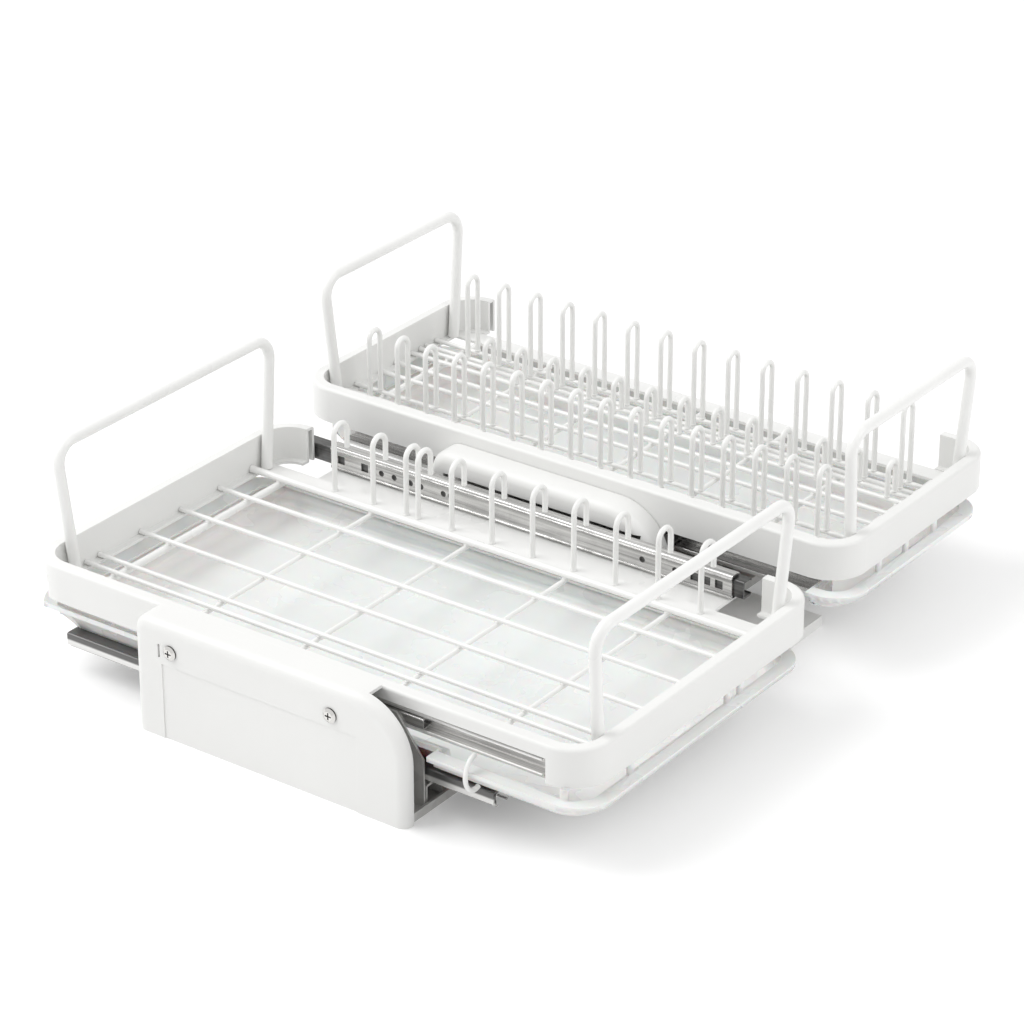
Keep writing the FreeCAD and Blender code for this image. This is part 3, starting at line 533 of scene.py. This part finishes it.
def screw_material(name, colour, groups):
    """Bright plated screw: mirror-like on the head, with painted shade in the recess and round the rim, on
    every face that doesn't face along Y.
    """
    material, tree, shader = new_material(name, Metallic=1.0)
    surface = placed(tree, groups["surface"], (-900, -150), {"Drift scale": 300.0, "Grain scale": 2500.0})
    geometry = add(tree, "ShaderNodeNewGeometry", (-1100, 300))
    axes = add(tree, "ShaderNodeSeparateXYZ", (-900, 300))
    facing = add(tree, "ShaderNodeMath", (-700, 300), operation="ABSOLUTE")
    # Painted shade: faces that don't face along Y, in the cross recess and round the head's rim, are
    # darkened.
    side = add(tree, "ShaderNodeMapRange", (-500, 300), values={"From Min": 0.55, "From Max": 0.9})
    tone = two_tone(tree, (-250, 300), shaded(colour, 0.12), shaded(colour, 1.0))
    rough = spread(tree, (-500, -50), 0.12, 0.24)
    bump = relief(tree, (-250, -400), 0.00002, 0.2)
    link(tree, [
        (geometry.outputs["Normal"], axes.inputs["Vector"]),
        (axes.outputs["Y"], facing.inputs[0]),
        (facing.outputs["Value"], side.inputs["Value"]),
        (side.outputs["Result"], tone.inputs["Factor"]),
        (tone.outputs["Result"], shader.inputs["Base Color"]),
        (surface.outputs["Drift"], rough.inputs["Value"]),
        (rough.outputs["Result"], shader.inputs["Roughness"]),
        (surface.outputs["Grain"], bump.inputs["Height"]),
        (bump.outputs["Normal"], shader.inputs["Normal"]),
    ])
    return material


def finishes(scene):
    """The materials by slot or finish, made on the first call."""
    names = set(SLOTS.values()) | set(STEEL_FINISHES.values()) | {"galvanised_steel"}
    if "rack white_plastic" not in bpy.data.materials:
        sizes = scene.rack_finishes
        low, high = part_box("front_low_top_rail")
        # Painted shade and painted light: a darker and a lighter copy of the zinc, for the member behind the
        # latch holes and the members in the front window.
        hole_shade = shaded(sizes.zinc, sizes.hole_shade)[:3]
        bright = shaded(sizes.zinc, sizes.bright)[:3]
        groups = {"edge": edge_mask_group(), "surface": surface_group(), "steel": rolled_steel_group()}
        moulding_material("rack white_plastic", sizes.moulding, sizes.moulding_roughness, groups)
        drip_material("rack drip_plastic", sizes.drip, groups)
        coating_material("rack white_coated_steel", sizes.coating, sizes.coating_roughness, groups)
        steel_material("rack zinc_steel", sizes.zinc, 0.24, 0.82, groups)
        # Painted shade behind the latch holes.
        steel_material("rack oiled_steel", hole_shade, 0.30, 0.82, groups)
        # Painted light in the front window's pocket.
        steel_material("rack bright_steel", bright, 0.30, 0.35, groups)
        # Painted shade on the upper half of the lower slide, painted light below.
        lower_slide_material("rack lower_slide_steel", sizes.zinc, (low[2] + high[2]) / 2, groups)
        galvanised_material("rack galvanised_steel", sizes.galvanised, groups)
        screw_material("rack screw_steel", sizes.nickel, groups)
    return {name: bpy.data.materials["rack " + name] for name in names}


def finish_of(node):
    """The finish of a CAD node: its slot's, save that slides and folded sheet differ in their steel."""
    if SLOTS[node] != "zinc_steel":
        return SLOTS[node]
    if node in STEEL_FINISHES:
        return STEEL_FINISHES[node]
    return "zinc_steel" if node.endswith("_rail") else "galvanised_steel"


# Mesh helpers


def deselect():
    """Leave edit mode with nothing selected."""
    if bpy.context.object and bpy.context.object.mode != "OBJECT":
        bpy.ops.object.mode_set(mode="OBJECT")
    bpy.ops.object.select_all(action="DESELECT")


def corners(node):
    """Lowest and highest corner of a CAD node, as vectors."""
    return tuple(Vector(corner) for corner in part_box(node))


def pieces_of(node):
    """Lowest and highest corner of each separate solid in a CAD node."""
    mesh = bmesh.new()
    mesh.from_mesh(frame["nodes"][node].data)
    bmesh.ops.remove_doubles(mesh, verts=mesh.verts, dist=MERGE)
    boxes = []
    seen = set()
    for start in mesh.verts:
        if start in seen:
            continue
        seen.add(start)
        island = [start]
        for vert in island:
            for edge in vert.link_edges:
                other = edge.other_vert(vert)
                if other not in seen:
                    seen.add(other)
                    island.append(other)
        low = Vector([min(v.co[i] for v in island) for i in range(3)])
        high = Vector([max(v.co[i] for v in island) for i in range(3)])
        boxes.append((low, high))
    mesh.free()
    return boxes


def finish_piece(piece, name, body, material):
    """Name, place in the mesh, material and the body that carries it."""
    deselect()
    piece.select_set(True)
    bpy.context.view_layer.objects.active = piece
    bpy.ops.object.transform_apply(location=True, rotation=True, scale=True)
    piece.name = name
    piece.data.name = name
    piece.data.materials.clear()
    piece.data.materials.append(material)
    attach(piece, body)
    return piece


def shape_in_edit_mode(piece):
    """Enter edit mode on one piece with all of it selected."""
    deselect()
    piece.select_set(True)
    bpy.context.view_layer.objects.active = piece
    bpy.ops.object.mode_set(mode="EDIT")
    bpy.ops.mesh.select_mode(type="VERT")
    bpy.ops.mesh.select_all(action="SELECT")


def leave_edit_mode(angle):
    """Back to object mode, with the faces that meet flatter than the angle shaded as one."""
    bpy.ops.object.mode_set(mode="OBJECT")
    bpy.ops.object.shade_smooth_by_angle(angle=angle)


def copy_of_node(node, name):
    """A copy of a CAD node's mesh as a new piece, its loose triangles merged, open in edit mode."""
    piece = bpy.data.objects.new(name, frame["nodes"][node].data.copy())
    bpy.context.scene.collection.objects.link(piece)
    shape_in_edit_mode(piece)
    bpy.ops.mesh.remove_doubles(threshold=MERGE)
    return piece


def select_where(piece, test):
    """In edit mode, select only the vertices that pass the test."""
    mesh = bmesh.from_edit_mesh(piece.data)
    for face in mesh.faces:
        face.select = False
    for edge in mesh.edges:
        edge.select = False
    for vert in mesh.verts:
        vert.select = test(vert)
    mesh.select_flush(True)
    bmesh.update_edit_mesh(piece.data)


def cut_across(place, normal):
    """In edit mode, cut the whole piece by a plane and keep both sides."""
    bpy.ops.mesh.select_all(action="SELECT")
    bpy.ops.mesh.bisect(plane_co=place, plane_no=normal)


def copies(piece, places):
    """Copies of one modelled piece, each with its own mesh, joined into a single object."""
    made = []
    for place in places:
        copy = piece.copy()
        copy.data = piece.data.copy()
        copy.location = place
        bpy.context.scene.collection.objects.link(copy)
        made.append(copy)
    bpy.data.objects.remove(piece)
    deselect()
    for copy in made:
        copy.select_set(True)
    bpy.context.view_layer.objects.active = made[0]
    bpy.ops.object.join()
    return made[0]


class RACK_OT_finish_frame(bpy.types.Operator):
    """Give every piece of the frame the finish of its material slot"""
    bl_idname = "rack.finish_frame"
    bl_label = "Finish the frame"

    def execute(self, context):
        made = finishes(context.scene)
        for name, node in frame["nodes"].items():
            node.data.materials.clear()
            node.data.materials.append(made[finish_of(name)])
            for face in node.data.polygons:
                face.material_index = 0
        return {"FINISHED"}


class RACK_OT_drip_trays(bpy.types.Operator):
    """Shape the drip trays: a thin turned-down rim over a wall that runs in to the floor"""
    bl_idname = "rack.drip_trays"
    bl_label = "Shape the drip trays"

    def execute(self, context):
        made = finishes(context.scene)
        for tray in TRAYS:
            node = tray.replace("_tray", "_drip_tray")
            piece = copy_of_node(node, node + "_dish")
            self.shape(piece, *corners(node), context.scene.rack_fittings)
            leave_edit_mode(FLAT_ANGLE)
            finish_piece(piece, node + "_dish", tray, made["drip_plastic"])
            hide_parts(node)
        return {"FINISHED"}

    def shape(self, piece, low, high, sizes):
        """Set each side's wall in under the rim, and the whole left side further in."""
        edge = 0.0001
        clear = 0.003
        strip = sizes.drip_corner
        under = high.z - sizes.drip_hang - sizes.rim_edge
        foot = low.z + (under - low.z) / 2
        moved_in = sizes.left_in + sizes.rim_overhang + sizes.wall_slope
        for z in (under, under - sizes.rim_step):
            cut_across((0, 0, z), (0, 0, 1))
        for x in (low.x + sizes.rim_overhang, low.x + strip + moved_in + clear):
            cut_across((x, 0, 0), (1, 0, 0))
        mesh = bmesh.from_edit_mesh(piece.data)
        places = [vert.co.copy() for vert in mesh.verts]
        sides = (
            (lambda p: p.x < low.x + strip, Vector((1, 0, 0))),
            (lambda p: p.x > high.x - strip, Vector((-1, 0, 0))),
            (lambda p: p.y < low.y + strip, Vector((0, 1, 0))),
            (lambda p: p.y > high.y - strip, Vector((0, -1, 0))),
        )
        for inside, way in sides:
            side = {i for i, place in enumerate(places) if inside(place)}
            for limit, step in ((under - edge, sizes.rim_overhang), (foot, sizes.wall_slope)):
                self.move(piece, {i for i in side if places[i].z < limit}, way * step)
            if way.x > 0:
                self.move(piece, side, way * sizes.left_in)
        rim_top = high.z - sizes.drip_hang
        rim = {i for i, place in enumerate(places) if under + edge < place.z < rim_top + edge}
        self.lift(piece, places, rim, low, high, sizes)

    def lift(self, piece, places, rim, low, high, sizes):
        """Turn the left rim up towards the band: its outer edge the most, its corners not at all."""
        levels = 10
        raised = {}
        for i in rim:
            outward = 1 - (places[i].x - low.x) / sizes.rim_overhang
            along = min(places[i].y - low.y, high.y - places[i].y) / sizes.drip_corner
            level = round(levels * max(0, outward) * min(1, along))
            raised.setdefault(level, set()).add(i)
        for level in sorted(raised):
            if level > 0:
                self.move(piece, raised[level], Vector((0, 0, sizes.left_lift * level / levels)))

    def move(self, piece, picked, step):
        """Move the vertices of the given numbers."""
        select_where(piece, lambda vert: vert.index in picked)
        bpy.ops.transform.translate(value=step)


class RACK_OT_bracket_plate(bpy.types.Operator):
    """Cut the corner of the front bracket's inner plate that would stand out beside its cover"""
    bl_idname = "rack.bracket_plate"
    bl_label = "Trim the bracket plate"

    def execute(self, context):
        made = finishes(context.scene)
        sizes = context.scene.rack_fittings
        right = corners("front_bracket_core")[1].x
        slide_foot = corners("front_tray_front_fixed_rail")[0].z
        piece = copy_of_node("front_bracket_core", "front_bracket_plate")
        bpy.ops.mesh.bisect(
            plane_co=(right - sizes.plate_corner / 2, 0, slide_foot),
            plane_no=Vector((1, 0, sizes.plate_slope)).normalized(),
            use_fill=True, clear_outer=True)
        bpy.ops.mesh.select_all(action="SELECT")
        bpy.ops.mesh.normals_make_consistent(inside=False)
        leave_edit_mode(FLAT_ANGLE)
        finish_piece(piece, "front_bracket_plate", "base", made["galvanised_steel"])
        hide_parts("front_bracket_core")
        return {"FINISHED"}


class RACK_OT_beads(bpy.types.Operator):
    """Add the rolled beads along the slide that shows at the front tray's open side"""
    bl_idname = "rack.beads"
    bl_label = "Add the slide beads"

    def execute(self, context):
        made = finishes(context.scene)
        sizes = context.scene.rack_fittings
        low, high = corners("front_tray_rear_rail")
        length = high.x - low.x
        deselect()
        bpy.ops.mesh.primitive_cylinder_add(vertices=14, radius=sizes.bead_r, depth=length,
                                            rotation=(0, math.pi / 2, 0))
        bead = context.object
        shape_in_edit_mode(bead)
        select_where(bead, lambda vert: abs(vert.co.z) > length / 4)
        bpy.ops.mesh.bevel(offset=sizes.bead_r * 0.6, segments=3, affect="EDGES")
        leave_edit_mode(ROUND_ANGLE)
        middle = (low + high) / 2
        pair = copies(bead, [
            Vector((middle.x, low.y, middle.z + way * sizes.bead_place)) for way in (-1, 1)])
        finish_piece(pair, "front_tray_rear_rail_beads", "front_tray", made["zinc_steel"])
        return {"FINISHED"}


class RACK_OT_clip(bpy.types.Operator):
    """Add the wire clip that holds the front drip tray's rim to the band"""
    bl_idname = "rack.clip"
    bl_label = "Add the clip"

    def execute(self, context):
        made = finishes(context.scene)
        sizes = context.scene.rack_fittings
        r = sizes.clip_wire
        drip_low = corners("front_drip_tray")[0]
        top = corners("front_tray_band")[0].z + 1.2 * r
        foot = drip_low.z + 2 * r
        centre = Vector((sizes.clip_x, drip_low.y + sizes.clip_in, (top + foot) / 2))
        deselect()
        bpy.ops.mesh.primitive_circle_add(
            vertices=12, radius=r, fill_type="NGON", rotation=(math.pi / 2, 0, 0),
            location=centre + Vector((0, 0, (top - foot) / 2)))
        clip = context.object
        shape_in_edit_mode(clip)
        bpy.ops.mesh.spin(steps=22, angle=-sizes.clip_turn, center=centre, axis=(1, 0, 0))
        finish_piece(clip, "front_drip_tray_clip", "front_tray",
                     made["white_coated_steel"])
        shape_in_edit_mode(clip)
        bpy.ops.transform.resize(value=(1, sizes.clip_squeeze, 1), center_override=centre)
        bpy.ops.mesh.remove_doubles(threshold=MERGE)
        bpy.ops.mesh.normals_make_consistent(inside=False)
        leave_edit_mode(ROUND_ANGLE)
        return {"FINISHED"}


class RACK_OT_welds(bpy.types.Operator):
    """Add the weld beads where wires cross and where prongs stand on them"""
    bl_idname = "rack.welds"
    bl_label = "Add weld beads"

    def execute(self, context):
        made = finishes(context.scene)
        sizes = context.scene.rack_fittings
        for tray in TRAYS:
            places = self.crossings(tray) + self.feet(tray, sizes.weld_rise * sizes.weld)
            deselect()
            bpy.ops.mesh.primitive_uv_sphere_add(
                segments=10, ring_count=6, radius=sizes.weld, location=(0, 0, 0))
            bead = context.object
            shape_in_edit_mode(bead)
            bpy.ops.transform.resize(value=tuple(sizes.weld_stretch))
            bpy.ops.object.mode_set(mode="OBJECT")
            bpy.ops.object.shade_smooth()
            beads = copies(bead, places)
            finish_piece(beads, tray + "_weld_beads", tray,
                         made["white_coated_steel"])
        return {"FINISHED"}

    def crossings(self, tray):
        """Where the long wires of a mat rest on its cross bars."""
        bars = pieces_of(tray + "_cross_bars")
        places = []
        for low, high in pieces_of(tray + "_long_wires"):
            for bar_low, bar_high in bars:
                places.append(Vector(((bar_low.x + bar_high.x) / 2, (low.y + high.y) / 2, low.z)))
        if not places:
            raise RuntimeError("no wire crossings were found on " + tray)
        return places

    def feet(self, tray, rise):
        """Where the legs of the prongs stand; a hook has one leg."""
        places = []
        for row in PRONG_ROWS[tray]:
            for low, high in pieces_of(row):
                half = (high.x - low.x) / 2
                x = (low.x + high.x) / 2
                places.append(Vector((x, low.y + half, low.z + rise)))
                if row != "front_tray_hooks":
                    places.append(Vector((x, high.y - half, low.z + rise)))
        return places


# The stage


def look(place, turn, drop, roll):
    """Matrix of a camera that looks forward, turned and dropped by the two angles."""
    forward = Vector((-math.sin(turn) * math.cos(drop), math.cos(turn) * math.cos(drop), -math.sin(drop)))
    right = Vector((math.cos(turn), math.sin(turn), 0))
    up = right.cross(forward)
    across = right * math.cos(roll) + up * math.sin(roll)
    upward = up * math.cos(roll) - right * math.sin(roll)
    return Matrix.Translation(place) @ Matrix((across, upward, -forward)).transposed().to_4x4()


def aim(place, target):
    """Matrix of a lamp at a place that points to a target."""
    back = (Vector(place) - Vector(target)).normalized()
    return Matrix.Translation(place) @ back.to_track_quat("Z", "Y").to_matrix().to_4x4()


def area_light(name, place, target, size, power):
    """A square area lamp that points to a target."""
    deselect()
    bpy.ops.object.light_add(type="AREA")
    lamp = bpy.context.object
    lamp.name = name
    lamp.data.shape = "SQUARE"
    lamp.data.size = size
    lamp.data.energy = power
    lamp.matrix_world = aim(place, target)
    return lamp


def seen_directly(tree, place):
    """1 for rays from the camera, a mirror or a glass, 0 for the rest."""
    path = add(tree, "ShaderNodeLightPath", place)
    first = add(tree, "ShaderNodeMath", (place[0] + 200, place[1]), operation="MAXIMUM")
    second = add(tree, "ShaderNodeMath", (place[0] + 400, place[1]), operation="MAXIMUM")
    link(tree, [
        (path.outputs["Is Camera Ray"], first.inputs[0]),
        (path.outputs["Is Glossy Ray"], first.inputs[1]),
        (first.outputs["Value"], second.inputs[0]),
        (path.outputs["Is Transmission Ray"], second.inputs[1]),
    ])
    return second.outputs["Value"]


class RACK_OT_stage(bpy.types.Operator):
    """Set up the floor, the studio light and the camera"""
    bl_idname = "rack.stage"
    bl_label = "Set the stage"

    def execute(self, context):
        stage = context.scene.rack_stage
        self.lay_floor(context, stage)
        self.light(context, stage)
        self.place_camera(context, stage)
        context.scene.view_settings.view_transform = "Standard"
        return {"FINISHED"}

    def lay_floor(self, context, stage):
        """A pale floor that keeps its shadow and looks a little brighter than it is lit."""
        deselect()
        bpy.ops.mesh.primitive_plane_add(size=stage.floor_size, location=(0, 0, 0))
        floor = context.object
        floor.name = "studio_floor"
        material, tree, shader = new_material("studio floor", Roughness=0.85, Specular_IOR_Level=0.1)
        shader.inputs["Base Color"].default_value = shaded(stage.floor, 1.0)
        shader.inputs["Emission Color"].default_value = (1, 1, 1, 1)
        lift = add(tree, "ShaderNodeMath", (-200, -300), operation="MULTIPLY", values={1: stage.floor_lift})
        link(tree, [
            (seen_directly(tree, (-900, -300)), lift.inputs[0]),
            (lift.outputs["Value"], shader.inputs["Emission Strength"]),
        ])
        floor.data.materials.append(material)

    def light(self, context, stage):
        """An even sky, white where it is seen directly, and two soft lamps."""
        world = bpy.data.worlds.new("studio")
        world.use_nodes = True
        context.scene.world = world
        tree = world.node_tree
        sky = tree.nodes["Background"]
        sky.inputs["Color"].default_value = (1, 1, 1, 1)
        strength = spread(tree, (-200, -100), stage.sky, 1.0)
        link(tree, [
            (seen_directly(tree, (-900, 0)), strength.inputs["Value"]),
            (strength.outputs["Result"], sky.inputs["Strength"]),
        ])
        area_light("key_light", stage.key_place, (0, 0, 0.05), stage.key_size, stage.key)
        area_light("fill_light", stage.fill_place, (0, 0, 0.08), stage.fill_size, stage.fill)

    def place_camera(self, context, stage):
        """The camera at the photograph's viewing angle."""
        deselect()
        bpy.ops.object.camera_add()
        camera = context.object
        camera.name = "photo_camera"
        camera.data.lens = stage.lens
        camera.data.sensor_width = 36
        camera.data.shift_x = stage.shift_x
        camera.data.shift_y = stage.shift_y
        camera.data.clip_end = 50
        camera.matrix_world = look(
            Vector(stage.camera_place), stage.camera_turn, stage.camera_drop, stage.camera_roll)
        context.scene.camera = camera


class RACK_PT_panel(bpy.types.Panel):
    """Sidebar panel with the rack's values and its building steps"""
    bl_label = "Dish Rack"
    bl_idname = "RACK_PT_panel"
    bl_space_type = "VIEW_3D"
    bl_region_type = "UI"
    bl_category = "Dish Rack"

    def draw(self, context):
        layout = self.layout
        for step in STEPS:
            layout.operator(step.bl_idname)
        scene = context.scene
        for group in (scene.rack_finishes, scene.rack_fittings, scene.rack_stage):
            for name in group.__annotations__:
                layout.prop(group, name)


GROUPS = (RackFinishes, RackFittings, RackStage)
STEPS = (
    RACK_OT_finish_frame, RACK_OT_drip_trays, RACK_OT_bracket_plate, RACK_OT_beads, RACK_OT_clip,
    RACK_OT_welds, RACK_OT_stage,
)


def register():
    for cls in GROUPS + STEPS + (RACK_PT_panel,):
        bpy.utils.register_class(cls)
    bpy.types.Scene.rack_finishes = PointerProperty(type=RackFinishes)
    bpy.types.Scene.rack_fittings = PointerProperty(type=RackFittings)
    bpy.types.Scene.rack_stage = PointerProperty(type=RackStage)


def unregister():
    del bpy.types.Scene.rack_stage
    del bpy.types.Scene.rack_fittings
    del bpy.types.Scene.rack_finishes
    for cls in reversed(GROUPS + STEPS + (RACK_PT_panel,)):
        bpy.utils.unregister_class(cls)


def main():
    register()
    bpy.ops.rack.finish_frame()
    bpy.ops.rack.drip_trays()
    bpy.ops.rack.bracket_plate()
    bpy.ops.rack.beads()
    bpy.ops.rack.clip()
    bpy.ops.rack.welds()
    bpy.ops.rack.stage()


if __name__ == "__main__":
    main()
